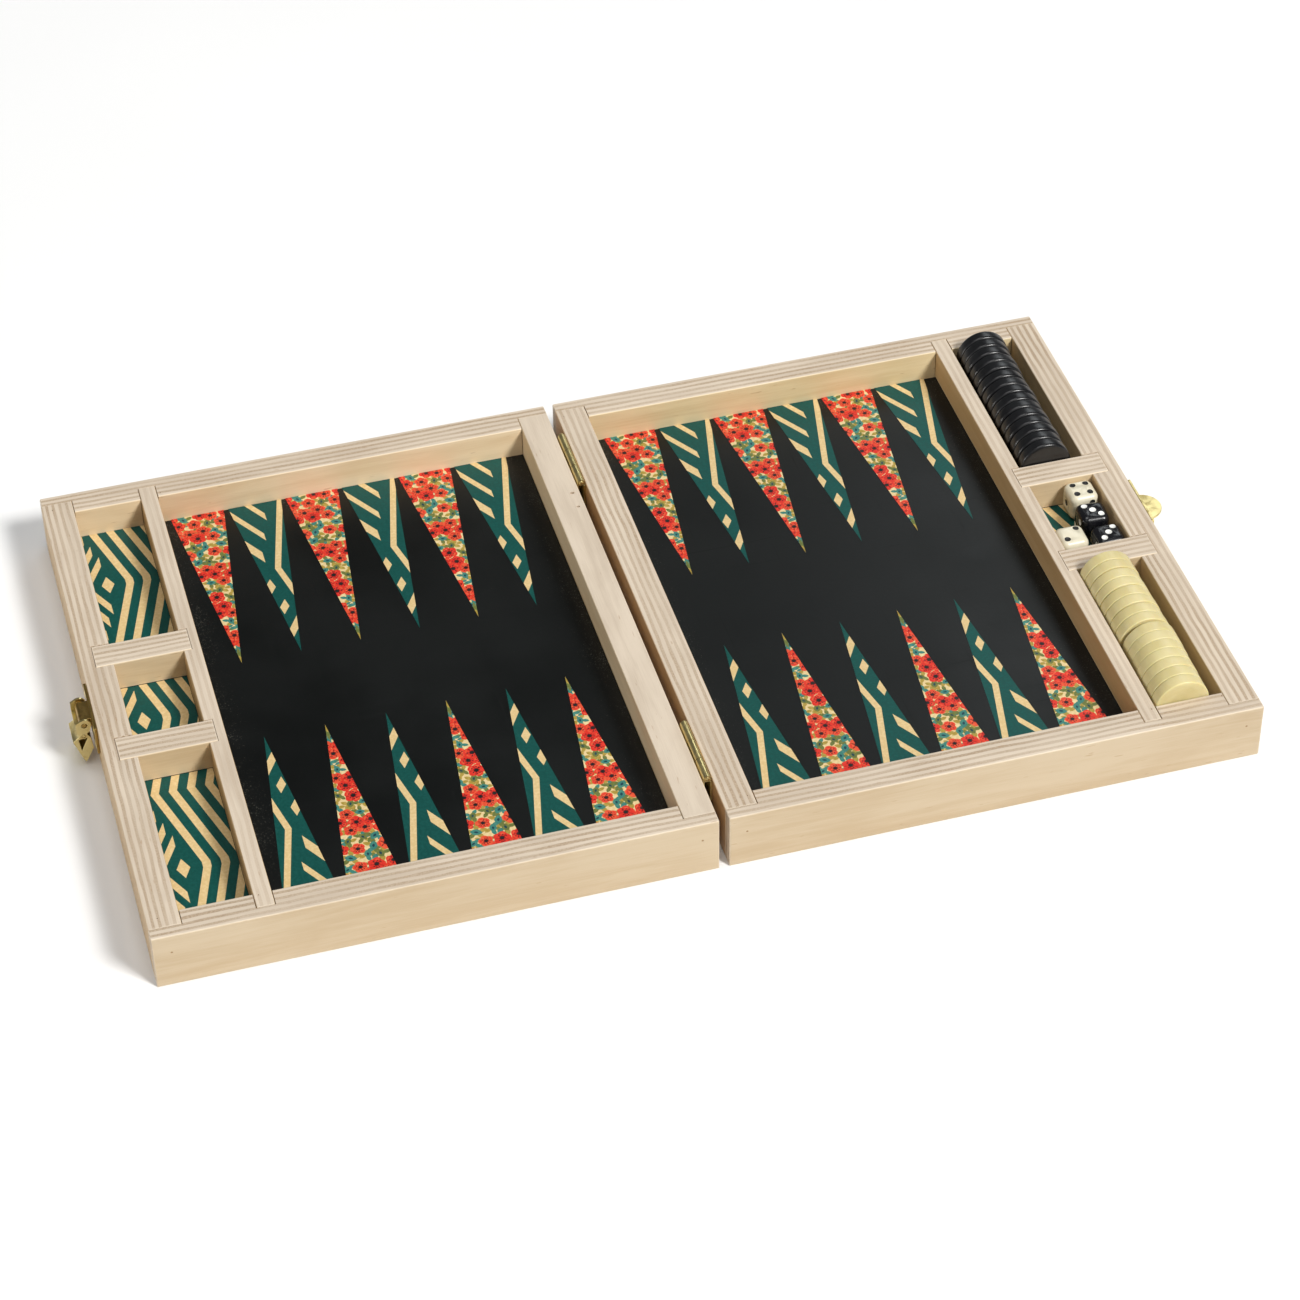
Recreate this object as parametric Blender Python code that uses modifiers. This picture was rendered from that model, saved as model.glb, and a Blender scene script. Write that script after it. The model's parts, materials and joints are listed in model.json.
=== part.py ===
"""Folding backgammon case in birch plywood, open and lying flat with its playing surface up.

Two shallow trays are hinged edge to edge. Each tray is four rails round a floor panel, with a
partition and two dividers that make three storage bays at the outer end. The right tray's bays hold
fifteen black and fifteen cream checkers and four dice. A brass toggle latch hangs on the left end,
and its catch stands on the right end.

Metres, +Z up. The origin is on the table, under the hinge line, midway along it.
"""

from math import cos, pi, radians, sin

import bmesh
import bpy
from mathutils import Matrix, Vector

# Trays
TRAY_WIDTH = 0.214  # along X, hinge side to outer end
TRAY_DEPTH = 0.260  # along Y
TRAY_HEIGHT = 0.025
WALL = 0.0125  # plywood thickness of rails and dividers
PARTITION = 0.007
RECESS = 0.0135  # rim down to the floor panel
BAY_WIDTH = 0.0275
DICE_BAY = 0.042  # length of the middle bay
PANEL_LIFT = 0.001  # underside of the floor panel above the table
TRAY_GAP = 0.0038  # between the two trays when open
JOINT_GAP = 0.0002  # glue line of every wood joint
CORNER_LIP = 0.005  # what a long rail keeps outside the rail housed in it
DIVIDER_IN_RAIL = 0.007
DIVIDER_IN_PARTITION = 0.0033

# Hinges
HINGE_PLACES = (-0.0915, 0.0915)
HINGE_LENGTH = 0.032
LEAF = 0.0008
LEAF_DROP = 0.0115  # hinge axis down to the leaf's lower edge
KNUCKLE_R = 0.0015
PIN_R = 0.0006
RUNNING = 0.0003
AXIS_RISE = 0.0002  # hinge axis above the rim

# Latch and catch: "out" is measured from the outer end's face, "down" from the rim
PLATE_LENGTH, PLATE_HEIGHT, PLATE = 0.027, 0.013, 0.001
PLATE_DOWN = 0.0004
LEVER_PIVOT = (0.0043, 0.0037)
HOOK_PIVOT = (0.0050, 0.0090)
CHEEK_OUTER, CHEEK_INNER = 0.0069, 0.0060  # half widths of the lever's two cheeks
HOOK_HALF = 0.0056
BARREL_HALF, BARREL_R = 0.0053, 0.00175  # the base plate's edge, rolled round the lever's pin
LATCH_PIN_R, HOOK_PIN_R = 0.0009, 0.00065
TAB_R, TAB_DOWN, TAB = 0.0077, 0.0048, 0.0009
STAND_OUT = 0.0094  # how far latch and catch stand out at each end

# Contents
CHECKER_R, CHECKER = 0.011, 0.00515
DIE, DIE_ROUND = 0.0122, 0.0024
REST_GAP = 0.0002

FLOOR_TOP = TRAY_HEIGHT - RECESS
TRAY_CENTRE = (TRAY_GAP + TRAY_WIDTH) / 2
OUTER_END = TRAY_GAP / 2 + TRAY_WIDTH
HINGE_AXIS_Z = TRAY_HEIGHT + AXIS_RISE
INNER_X = TRAY_WIDTH / 2 - WALL  # half the room between end rail and hinge rail
INNER_Y = TRAY_DEPTH / 2 - WALL
HOUSED_Y = TRAY_DEPTH / 2 - CORNER_LIP - JOINT_GAP

CREAM, BLACK_PLASTIC = (0.78, 0.72, 0.46), (0.012, 0.012, 0.014)


def clear_scene():
    for thing in list(bpy.data.objects):
        bpy.data.objects.remove(thing, do_unlink=True)


def new_collection(name):
    made = bpy.data.collections.new(name)
    bpy.context.scene.collection.children.link(made)
    return made


clear_scene()
PARTS = new_collection("backgammon_case")
CUTTERS = new_collection("cutters")


def material(name, colour, roughness, metallic=0.0):
    made = bpy.data.materials.new(name)
    made.use_nodes = True
    shader = made.node_tree.nodes["Principled BSDF"]
    shader.inputs["Base Color"].default_value = (*colour, 1.0)
    shader.inputs["Roughness"].default_value = roughness
    shader.inputs["Metallic"].default_value = metallic
    return made


def finish(name, mesh_maker, colour, roughness, metallic=0.0, parent=None):
    """A part made from a bmesh that is already in world space, with its own material."""
    mesh = bpy.data.meshes.new(name)
    mesh_maker.to_mesh(mesh)
    mesh_maker.free()
    part = bpy.data.objects.new(name, mesh)
    PARTS.objects.link(part)
    mesh.materials.append(material(name, colour, roughness, metallic))
    if parent is not None:
        part.parent = parent
        part.matrix_parent_inverse = Matrix.Translation(-parent.location)
    return part


def wood(name, shape):
    return finish(name, shape, (0.73, 0.61, 0.44), 0.6)


def brass(name, shape, parent=None):
    return finish(name, shape, (0.62, 0.50, 0.18), 0.28, 1.0, parent)


def box(low, high):
    """A box between two corners."""
    shape = bmesh.new()
    bmesh.ops.create_cube(shape, size=1.0)
    low, high = Vector(low), Vector(high)
    place = Matrix.Translation((low + high) / 2) @ Matrix.Diagonal((*(high - low), 1.0))
    bmesh.ops.transform(shape, matrix=place, verts=shape.verts)
    return shape


def rod(radius, y_low, y_high, x, z, sides=20):
    """A round bar along Y."""
    shape = bmesh.new()
    bmesh.ops.create_cone(
        shape, cap_ends=True, segments=sides, radius1=radius, radius2=radius, depth=y_high - y_low
    )
    turn = Matrix.Rotation(pi / 2, 4, "X")
    place = Matrix.Translation((x, (y_low + y_high) / 2, z)) @ turn
    bmesh.ops.transform(shape, matrix=place, verts=shape.verts)
    return shape


def plate_along_y(outline, y_low, y_high):
    """A flat outline in the XZ plane, given thickness along Y."""
    shape = bmesh.new()
    face = shape.faces.new([shape.verts.new((x, y_low, z)) for x, z in outline])
    swept = bmesh.ops.extrude_face_region(shape, geom=[face])["geom"]
    moved = [v for v in swept if isinstance(v, bmesh.types.BMVert)]
    bmesh.ops.translate(shape, verts=moved, vec=(0, y_high - y_low, 0))
    bmesh.ops.recalc_face_normals(shape, faces=shape.faces)
    return shape


def boolean(part, shape, operation):
    """Cuts a shape from a part, or joins it to the part, with an exact Boolean modifier."""
    mesh = bpy.data.meshes.new(f"{part.name}_{operation.lower()}")
    bmesh.ops.recalc_face_normals(shape, faces=shape.faces)
    shape.to_mesh(mesh)
    shape.free()
    helper = bpy.data.objects.new(mesh.name, mesh)
    CUTTERS.objects.link(helper)
    helper.hide_render = True
    helper.display_type = "WIRE"
    modifier = part.modifiers.new(operation.title(), "BOOLEAN")
    modifier.operation = operation
    modifier.solver = "EXACT"
    modifier.object = helper


def cut(part, shape):
    boolean(part, shape, "DIFFERENCE")


def join(part, shape):
    boolean(part, shape, "UNION")


def tray_box(side, x_span, y_span, z_span):
    """A box given in one tray's own frame, where +X runs from the outer end to the hinge.

    side is -1 for the left tray and +1 for the right one, which is its mirror image.
    """
    ends = sorted(side * (TRAY_CENTRE - x) for x in x_span)
    y_span, z_span = sorted(y_span), sorted(z_span)
    return box((ends[0], y_span[0], z_span[0]), (ends[1], y_span[1], z_span[1]))


def make_tray(side, label):
    """Rails, partition, dividers and floor panel of one tray."""
    half_x, half_y = TRAY_WIDTH / 2, TRAY_DEPTH / 2
    whole, inside = (0.0, TRAY_HEIGHT), (FLOOR_TOP + JOINT_GAP, TRAY_HEIGHT)
    above = TRAY_HEIGHT + 0.001
    partition_x = (-INNER_X + BAY_WIDTH, -INNER_X + BAY_WIDTH + PARTITION)
    housing_y = HOUSED_Y + JOINT_GAP

    for place, sign in (("front", -1), ("back", 1)):
        rail = wood(
            f"{label}_{place}_rail",
            tray_box(side, (-half_x, half_x), (sign * INNER_Y, sign * half_y), whole),
        )
        depth = (sign * (INNER_Y - 0.001), sign * housing_y)
        for end in (-1, 1):
            corner = (end * (INNER_X - JOINT_GAP), end * (half_x + 0.001))
            cut(rail, tray_box(side, corner, depth, (-0.001, above)))
        slot = (partition_x[0] - JOINT_GAP, partition_x[1] + JOINT_GAP)
        cut(rail, tray_box(side, slot, depth, (FLOOR_TOP, above)))

    end_rail = wood(
        f"{label}_end_rail", tray_box(side, (-half_x, -INNER_X), (-HOUSED_Y, HOUSED_Y), whole)
    )
    wood(f"{label}_hinge_rail", tray_box(side, (INNER_X, half_x), (-HOUSED_Y, HOUSED_Y), whole))
    partition = wood(f"{label}_partition", tray_box(side, partition_x, (-HOUSED_Y, HOUSED_Y), inside))

    divider_x = (-INNER_X - DIVIDER_IN_RAIL, partition_x[0] + DIVIDER_IN_PARTITION)
    for place, sign in (("front", -1), ("back", 1)):
        near, far = sign * DICE_BAY / 2, sign * (DICE_BAY / 2 + WALL)
        wood(f"{label}_{place}_divider", tray_box(side, divider_x, (near, far), inside))
        slot_y = (near - sign * JOINT_GAP, far + sign * JOINT_GAP)
        rail_slot = (divider_x[0] - JOINT_GAP, -INNER_X + 0.001)
        cut(end_rail, tray_box(side, rail_slot, slot_y, (FLOOR_TOP, above)))
        partition_slot = (partition_x[0] - 0.001, divider_x[1] + JOINT_GAP)
        cut(partition, tray_box(side, partition_slot, slot_y, (FLOOR_TOP, above)))

    reach_x, reach_y = INNER_X - JOINT_GAP, INNER_Y - JOINT_GAP
    panel = tray_box(side, (-reach_x, reach_x), (-reach_y, reach_y), (PANEL_LIFT, FLOOR_TOP))
    finish(f"{label}_floor_panel", panel, (0.012, 0.014, 0.013), 0.4)


def make_hinge(label, y_centre, pivot):
    """A butt hinge: the left leaf has the two outer knuckles and the right one the middle knuckle."""
    low, high = y_centre - HINGE_LENGTH / 2, y_centre + HINGE_LENGTH / 2
    third = HINGE_LENGTH / 3
    face = TRAY_GAP / 2 - 0.0001  # the leaves stand just off the rails
    leaf_top = HINGE_AXIS_Z - KNUCKLE_R - RUNNING
    spans = {
        -1: ((low, low + third - RUNNING / 2), (high - third + RUNNING / 2, high)),
        1: ((low + third + RUNNING / 2, high - third - RUNNING / 2),),
    }
    for side, name in ((-1, "left_leaf"), (1, "right_leaf")):
        x_low, x_high = sorted((side * face, side * (face - LEAF)))
        leaf = brass(
            f"{label}_hinge_{name}",
            box((x_low, low, HINGE_AXIS_Z - LEAF_DROP), (x_high, high, leaf_top)),
            pivot if side > 0 else None,
        )
        for y_low, y_high in spans[side]:
            join(leaf, box((x_low, y_low, leaf_top - 0.001), (x_high, y_high, HINGE_AXIS_Z)))
            join(leaf, rod(KNUCKLE_R, y_low, y_high, 0.0, HINGE_AXIS_Z))
        bore = rod(PIN_R + RUNNING / 2, low - 0.001, high + 0.001, 0.0, HINGE_AXIS_Z, 16)
        cut(leaf, bore)
    brass(f"{label}_hinge_pin", rod(PIN_R, low, high, 0.0, HINGE_AXIS_Z, 12))


def out_down(point):
    """World X and Z of a point given as distances out from the left end and down from the rim."""
    return -(OUTER_END + point[0]), TRAY_HEIGHT - point[1]


def arc(centre, radius, start, stop, steps):
    """Points on an arc in the out-down plane, with angles counted from straight out towards down."""
    turns = (radians(start + (stop - start) * i / steps) for i in range(steps + 1))
    return [(centre[0] + radius * cos(t), centre[1] + radius * sin(t)) for t in turns]


def latch_slab(outline, y_low, y_high):
    return plate_along_y([out_down(p) for p in outline], y_low, y_high)


def latch_rod(centre, radius, y_low, y_high, sides=16):
    x, z = out_down(centre)
    return rod(radius, y_low, y_high, x, z, sides)


def mounting_plate(name, side, parent=None):
    """The screwed-on plate of the latch (left, side -1) or of the catch (right, side +1)."""
    x_low, x_high = sorted((side * (OUTER_END + 0.0001), side * (OUTER_END + 0.0001 + PLATE)))
    top = TRAY_HEIGHT - PLATE_DOWN
    half = PLATE_LENGTH / 2
    return brass(name, box((x_low, -half, top - PLATE_HEIGHT), (x_high, half, top)), parent)


def make_latch(lever_empty, hook_empty):
    """Plate rolled round a fixed pin, a lever of two cheeks and a web, and a V-shaped hook."""
    plate = mounting_plate("latch_base_plate", -1)
    upper, lower = (LEVER_PIVOT[1] + sign * BARREL_R for sign in (-1, 1))
    barrel = [(0.0008, upper), *arc(LEVER_PIVOT, BARREL_R, -90, 90, 10), (0.0008, lower)]
    join(plate, latch_slab(barrel, -BARREL_HALF, BARREL_HALF))
    join(plate, latch_rod(LEVER_PIVOT, LATCH_PIN_R, -CHEEK_OUTER, CHEEK_OUTER))

    head = arc(LEVER_PIVOT, 0.0027, 160, 290, 8)  # the end that turns past the plate
    cheek = head + [
        (0.0076, 0.0026),
        (0.0076, 0.0076),
        (0.0060, 0.0088),
        *arc(HOOK_PIVOT, 0.0014, 0, 180, 6),
        (0.0036, 0.0078),
        (0.0026, 0.0070),
    ]
    lever = brass("latch_lever", latch_slab(cheek, CHEEK_INNER, CHEEK_OUTER), lever_empty)
    join(lever, latch_slab(cheek, -CHEEK_OUTER, -CHEEK_INNER))
    web = [(0.0030, 0.0064), (0.0076, 0.0064), (0.0076, 0.0073), (0.0030, 0.0073)]
    join(lever, latch_slab(web, -CHEEK_INNER - 0.0004, CHEEK_INNER + 0.0004))
    reach = CHEEK_OUTER + 0.001
    cut(lever, latch_rod(LEVER_PIVOT, LATCH_PIN_R + RUNNING, -reach, reach))
    cut(lever, latch_rod(HOOK_PIVOT, HOOK_PIN_R + RUNNING, -reach, reach))

    strap = arc(HOOK_PIVOT, 0.0013, 170, 360, 8) + [
        (0.0069, 0.0104),
        (STAND_OUT, 0.0122),
        (0.0060, 0.0224),
        (0.0054, 0.0234),
        (0.0047, 0.0226),
        (0.0018, 0.0170),
        (0.0022, 0.0128),
        (0.0024, 0.0112),
        (0.0034, 0.0098),
    ]
    hook = brass("latch_hook", latch_slab(strap, -HOOK_HALF, HOOK_HALF), hook_empty)
    window = [(0.0036, 0.0112), (0.0072, 0.0117), (0.0064, 0.0174)]
    cut(hook, latch_slab(window, -HOOK_HALF - 0.001, HOOK_HALF + 0.001))
    join(hook, latch_rod(HOOK_PIVOT, HOOK_PIN_R, -CHEEK_OUTER, CHEEK_OUTER, 12))


def make_catch(parent):
    """The plate on the right end, with a round tab that the hook pulls on."""
    plate = mounting_plate("catch_plate", 1, parent)
    middle = OUTER_END + STAND_OUT - TAB_R
    tab = bmesh.new()
    bmesh.ops.create_cone(
        tab, cap_ends=True, segments=32, radius1=TAB_R, radius2=TAB_R, depth=TAB
    )
    place = Matrix.Translation((middle, 0, TRAY_HEIGHT - TAB_DOWN))
    bmesh.ops.transform(tab, matrix=place, verts=tab.verts)
    inner = OUTER_END + PLATE / 2
    spare = bmesh.ops.bisect_plane(
        tab,
        geom=tab.verts[:] + tab.edges[:] + tab.faces[:],
        plane_co=(inner, 0, 0),
        plane_no=(-1, 0, 0),
        clear_outer=True,
    )["geom_cut"]
    bmesh.ops.holes_fill(tab, edges=[e for e in spare if isinstance(e, bmesh.types.BMEdge)])
    join(plate, tab)


# How far each checker has slid from the partition, back to front, in steps of a fifth of a millimetre
BLACK_SLIDES = (5, 4, 2, 4, 3, 1, 2, 4, 3, 2, 4, 3, 5, 3, 4)
CREAM_SLIDES = (0, 1, 0, 1, 1, 2, 1, 2, 5, 5, 4, 3, 3, 2, 2)
SLIDE_STEP = 0.0002
# Air behind each checker but the first, in tenths of a millimetre
BLACK_AIR = (2, 3, 2, 2, 8, 3, 2, 4, 2, 3, 4, 2, 3, 2)
CREAM_AIR = (1, 5, 1, 5, 1, 5, 1, 14, 1, 1, 1, 2, 2, 2)
AIR_STEP = 0.0001


def make_checkers(colour, shade, y_front, slides, air, parent):
    """A row of checkers standing on edge along Y, numbered from the back."""
    z = FLOOR_TOP + REST_GAP + CHECKER_R
    wall_x = TRAY_CENTRE + INNER_X - BAY_WIDTH
    for number, slide in enumerate(slides):
        gaps = sum(air[number:]) * AIR_STEP
        y = y_front + REST_GAP + CHECKER / 2 + CHECKER * (len(slides) - 1 - number) + gaps
        x = wall_x + REST_GAP + CHECKER_R + slide * SLIDE_STEP
        disc = rod(CHECKER_R, y - CHECKER / 2, y + CHECKER / 2, x, z, 24)
        name = f"{colour}_checker_{number + 1:02d}"
        checker = finish(name, disc, shade, 0.35, parent=parent)
        edge = checker.modifiers.new("Edge", "BEVEL")
        edge.width = 0.0008
        edge.segments = 1


# Name, place from the right tray's centre in X and Y, and turn about Z in degrees
DICE = (
    ("cream_die_four", 0.0872, 0.0146, 0, CREAM),
    ("black_die_three_back", 0.0868, 0.0005, -4, BLACK_PLASTIC),
    ("black_die_three_front", 0.0880, -0.0144, 1, BLACK_PLASTIC),
    ("cream_die_two", 0.0733, -0.0112, 0, CREAM),
)


def make_dice(parent):
    half = DIE / 2
    for name, x, y, turn, shade in DICE:
        cube = box((-half, -half, -half), (half, half, half))
        spot = (TRAY_CENTRE + x, y, FLOOR_TOP + REST_GAP + half)
        place = Matrix.Translation(spot) @ Matrix.Rotation(radians(turn), 4, "Z")
        bmesh.ops.transform(cube, matrix=place, verts=cube.verts)
        die = finish(name, cube, shade, 0.3, parent=parent)
        edge = die.modifiers.new("Edge", "BEVEL")
        edge.width = DIE_ROUND
        edge.segments = 2


def pivot(name, x, z):
    made = bpy.data.objects.new(name, None)
    PARTS.objects.link(made)
    made.location = (x, 0, z)
    made.empty_display_size = 0.01
    return made


fold = pivot("fold_axis", 0.0, HINGE_AXIS_Z)
make_tray(-1, "left")
make_tray(1, "right")
for part in list(PARTS.objects):
    if part.name.startswith("right_"):
        part.parent = fold
        part.matrix_parent_inverse = Matrix.Translation(-fold.location)
for hinge_name, hinge_y in zip(("front", "back"), HINGE_PLACES):
    make_hinge(hinge_name, hinge_y, fold)
lever_axis = pivot("lever_axis", *out_down(LEVER_PIVOT))
hook_axis = pivot("hook_axis", *out_down(HOOK_PIVOT))
hook_axis.parent = lever_axis
hook_axis.matrix_parent_inverse = Matrix.Translation(-lever_axis.location)
make_latch(lever_axis, hook_axis)
make_catch(fold)
make_checkers("black", BLACK_PLASTIC, DICE_BAY / 2 + WALL, BLACK_SLIDES, BLACK_AIR, fold)
make_checkers("cream", CREAM, -INNER_Y, CREAM_SLIDES, CREAM_AIR, fold)
make_dice(fold)
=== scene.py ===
"""Looks of the folding backgammon case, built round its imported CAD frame. Metres, +Z up."""

import json
from math import acos, asin, cos, hypot, pi, radians, sin
from random import Random

import bmesh
import bpy
from mathutils import Matrix, Vector
from mathutils.geometry import delaunay_2d_cdt

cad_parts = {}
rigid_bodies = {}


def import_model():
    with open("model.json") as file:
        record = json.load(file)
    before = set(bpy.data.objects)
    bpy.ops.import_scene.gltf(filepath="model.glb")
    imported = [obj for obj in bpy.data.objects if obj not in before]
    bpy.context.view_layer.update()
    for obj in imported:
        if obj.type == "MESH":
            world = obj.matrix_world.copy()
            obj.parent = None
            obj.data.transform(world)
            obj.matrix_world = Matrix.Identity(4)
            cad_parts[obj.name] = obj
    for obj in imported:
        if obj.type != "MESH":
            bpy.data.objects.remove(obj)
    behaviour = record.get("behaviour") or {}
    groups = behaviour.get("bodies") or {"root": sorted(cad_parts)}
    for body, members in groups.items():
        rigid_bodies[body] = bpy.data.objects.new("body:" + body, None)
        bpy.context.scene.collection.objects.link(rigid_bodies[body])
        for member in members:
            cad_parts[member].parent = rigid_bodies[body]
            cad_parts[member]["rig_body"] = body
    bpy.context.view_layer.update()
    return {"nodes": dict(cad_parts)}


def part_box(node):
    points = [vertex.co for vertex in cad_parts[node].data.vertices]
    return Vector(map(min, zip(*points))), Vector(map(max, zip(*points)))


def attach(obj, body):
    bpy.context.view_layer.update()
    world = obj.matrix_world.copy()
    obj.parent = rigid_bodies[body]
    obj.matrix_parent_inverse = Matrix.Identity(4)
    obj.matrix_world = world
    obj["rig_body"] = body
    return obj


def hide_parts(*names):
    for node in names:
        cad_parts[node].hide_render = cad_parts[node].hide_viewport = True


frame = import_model()

MM = 0.001
TRAYS = ("left", "right")
RAILS = ("front_rail", "back_rail", "end_rail", "hinge_rail")
WOOD_PARTS = (*RAILS, "partition", "front_divider", "back_divider", "floor_panel")


def srgb(red, green, blue):
    """A linear colour from display values of 0 to 255."""
    shares = (c / 255 for c in (red, green, blue))
    return (*(s / 12.92 if s <= 0.04045 else ((s + 0.055) / 1.055) ** 2.4 for s in shares), 1.0)


# ---- Materials ----


class Surface:
    """A Principled material, with short calls for the nodes that feed it."""

    def __init__(self, name, seed=0.0, **sockets):
        self.material = bpy.data.materials.new(name)
        self.material.use_nodes = True
        self.tree = self.material.node_tree
        self.shader = self.tree.nodes["Principled BSDF"]
        place = self.tree.nodes.new("ShaderNodeTexCoord")
        self.place, self.normal = place.outputs["Object"], place.outputs["Normal"]
        shift = (31.7 * seed, 17.3 * seed, 7.9 * seed)
        self.mm = self.vector("MULTIPLY_ADD", self.place, (1000, 1000, 1000), shift)
        for socket, value in sockets.items():
            self.feed(self.shader.inputs[socket.replace("_", " ").title()], value)

    def feed(self, socket, value):
        if isinstance(value, bpy.types.NodeSocket):
            self.tree.links.new(value, socket)
        else:
            socket.default_value = value

    def node(self, kind, *inputs, **settings):
        made = self.tree.nodes.new(kind)
        for setting, value in settings.items():
            setattr(made, setting, value)
        for socket, value in zip(made.inputs, inputs):
            self.feed(socket, value)
        return made

    def named(self, kind, sockets):
        """The first output of a new node whose sockets are fed by name."""
        made = self.tree.nodes.new(kind)
        for socket, value in sockets.items():
            self.feed(made.inputs[socket], value)
        return made.outputs[0]

    def math(self, operation, *values):
        return self.node("ShaderNodeMath", *values, operation=operation).outputs[0]

    def vector(self, operation, *values):
        return self.node("ShaderNodeVectorMath", *values, operation=operation).outputs[0]

    def axes(self, vector):
        return self.node("ShaderNodeSeparateXYZ", vector).outputs

    def noise(self, stretch, scale, detail=2.0, warp=0.0):
        """Noise in millimetre space, with its features drawn out by a factor for each axis."""
        squeezed = self.vector("DIVIDE", self.mm, stretch)
        sockets = {"Vector": squeezed, "Scale": scale, "Detail": detail, "Distortion": warp}
        return self.named("ShaderNodeTexNoise", sockets)

    def blend(self, value, low, high, to_low=0.0, to_high=1.0):
        """A smooth step from to_low to to_high as value goes from low to high."""
        made = self.node("ShaderNodeMapRange", value, low, high, to_low, to_high)
        made.interpolation_type = "SMOOTHSTEP"
        return made.outputs[0]

    def mix(self, factor, first, second, kind="MIX"):
        made = self.node("ShaderNodeMix", data_type="RGBA", blend_type=kind)
        for index, value in ((0, factor), (6, first), (7, second)):
            self.feed(made.inputs[index], value)
        return made.outputs[2]

    def bump(self, height, distance, strength=1.0):
        sockets = {"Height": height, "Distance": distance, "Strength": strength}
        self.feed(self.shader.inputs["Normal"], self.named("ShaderNodeBump", sockets))

    def finished(self, colour, rough):
        """The material, once the shader has its colour and roughness."""
        self.feed(self.shader.inputs["Base Color"], colour)
        self.feed(self.shader.inputs["Roughness"], rough)
        return self.material

    def edge_distance(self, low, high):
        """How far a point on a box-shaped piece is from the nearest edge, in metres."""
        gaps = []
        for place, first, last in zip(self.axes(self.place), low, high):
            near, far = self.math("SUBTRACT", place, first), self.math("SUBTRACT", last, place)
            gaps.append(self.math("MINIMUM", near, far))
        lesser = self.math("MINIMUM", gaps[0], gaps[1])
        greater = self.math("MAXIMUM", gaps[0], gaps[1])
        return self.math("MAXIMUM", lesser, self.math("MINIMUM", greater, gaps[2]))


BIRCH_FACE = srgb(206, 181, 142), srgb(219, 198, 163)
BIRCH_EDGE = srgb(198, 182, 162), srgb(216, 201, 181)
BIRCH_END = srgb(165, 143, 118), srgb(189, 169, 145)
KNOT = srgb(158, 118, 74)
SANDED = srgb(236, 223, 201)
SATIN_SPECULAR = 0.32  # of the board's sheets


def stretched(along, factor):
    """Stretch factors for a noise that is drawn out along one axis."""
    return [factor if axis == along else 1.0 for axis in range(3)]


def end_plies(wood, low, high, stack, plies, fibre, along):
    """How far a point lies in a ply that is turned across, from 0 to 1, with soft wavy borders."""
    pitch = (high[stack] - low[stack]) / plies
    place = wood.axes(wood.place)[stack]
    level = wood.math("DIVIDE", wood.math("SUBTRACT", place, low[stack]), pitch)
    waves = wood.noise(stretched(along, 3.5), 0.09, 2.0)
    level = wood.math("ADD", level, wood.blend(waves, 0.3, 0.7, -0.24, 0.24))
    level = wood.math("ADD", level, wood.blend(fibre, 0.3, 0.7, -0.06, 0.06))
    level = wood.math("MINIMUM", wood.math("MAXIMUM", level, 0.5), plies - 0.5)
    return wood.blend(wood.math("PINGPONG", wood.math("SUBTRACT", level, 0.5), 1.0), 0.40, 0.68)


def birch(name, low, high, stack, along, plies, seed, light_and_shade_tint, striped):
    """Birch plywood as a solid: its plies lie across one axis, with the face grain along another.

    Every second ply shows its end grain on the long edges, and the others show it on the ends.
    One ply makes it solid birch. The tint multiplies the face veneer's colours, as painted light and
    shade for some boards, and striped is how strongly the turned plies show.
    """
    # The face veneer's colours times the tint: painted light and shade on some boards
    veneer = [(*(c * t for c, t in zip(colour, light_and_shade_tint)), 1.0) for colour in BIRCH_FACE]
    wood = Surface(name, seed)
    facing = [wood.math("ABSOLUTE", side) for side in wood.axes(wood.normal)]
    on_end = wood.math("GREATER_THAN", facing[along], 0.6)
    on_face = wood.math("GREATER_THAN", facing[stack], 0.6)

    cloud = wood.noise(stretched(along, 2.6), 0.030, 3.0, 0.9)
    figure = wood.noise(stretched(along, 14.0), 0.17, 3.0, 1.2)
    fibre = wood.noise(stretched(along, 26.0), 2.4, 4.0)
    pores = wood.noise((1, 1, 1), 2.2, 3.0)
    grain = wood.math("MULTIPLY_ADD", figure, 0.6, wood.math("MULTIPLY", cloud, 0.8))
    grain = wood.math("MULTIPLY_ADD", fibre, 0.35, grain)

    shows_end = on_end
    if plies > 1:
        crossed = end_plies(wood, low, high, stack, plies, fibre, along)
        shows_end = wood.math("ABSOLUTE", wood.math("SUBTRACT", crossed, on_end))
    drift = wood.noise(stretched(along, 6.0), 0.12, 2.0)
    faded = wood.blend(drift, 0.32, 0.68, 0.5 * striped, striped)

    tone = wood.blend(grain, 0.62, 1.08)
    light = wood.mix(on_face, wood.mix(tone, *BIRCH_EDGE), wood.mix(tone, *veneer))
    dark = wood.mix(wood.blend(pores, 0.34, 0.66), *BIRCH_END)
    colour = wood.mix(wood.math("MULTIPLY", shows_end, faded), light, dark)
    flecks = wood.blend(wood.noise(stretched(along, 7.0), 1.1, 1.0), 0.73, 0.80, 0.0, 0.40)
    colour = wood.mix(flecks, colour, KNOT)
    ragged = wood.math("MULTIPLY_ADD", fibre, 0.0009, wood.edge_distance(low, high))
    worn = wood.blend(ragged, 0.0011, 0.0005, 0.0, 0.40)
    rough = wood.blend(wood.math("ADD", fibre, shows_end), 0.35, 1.6, 0.46, 0.74)
    relief = wood.math("SUBTRACT", fibre, wood.math("MULTIPLY", shows_end, 0.4))
    wood.bump(relief, 0.00010, 0.45)
    return wood.finished(wood.mix(worn, colour, SANDED), rough)


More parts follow.
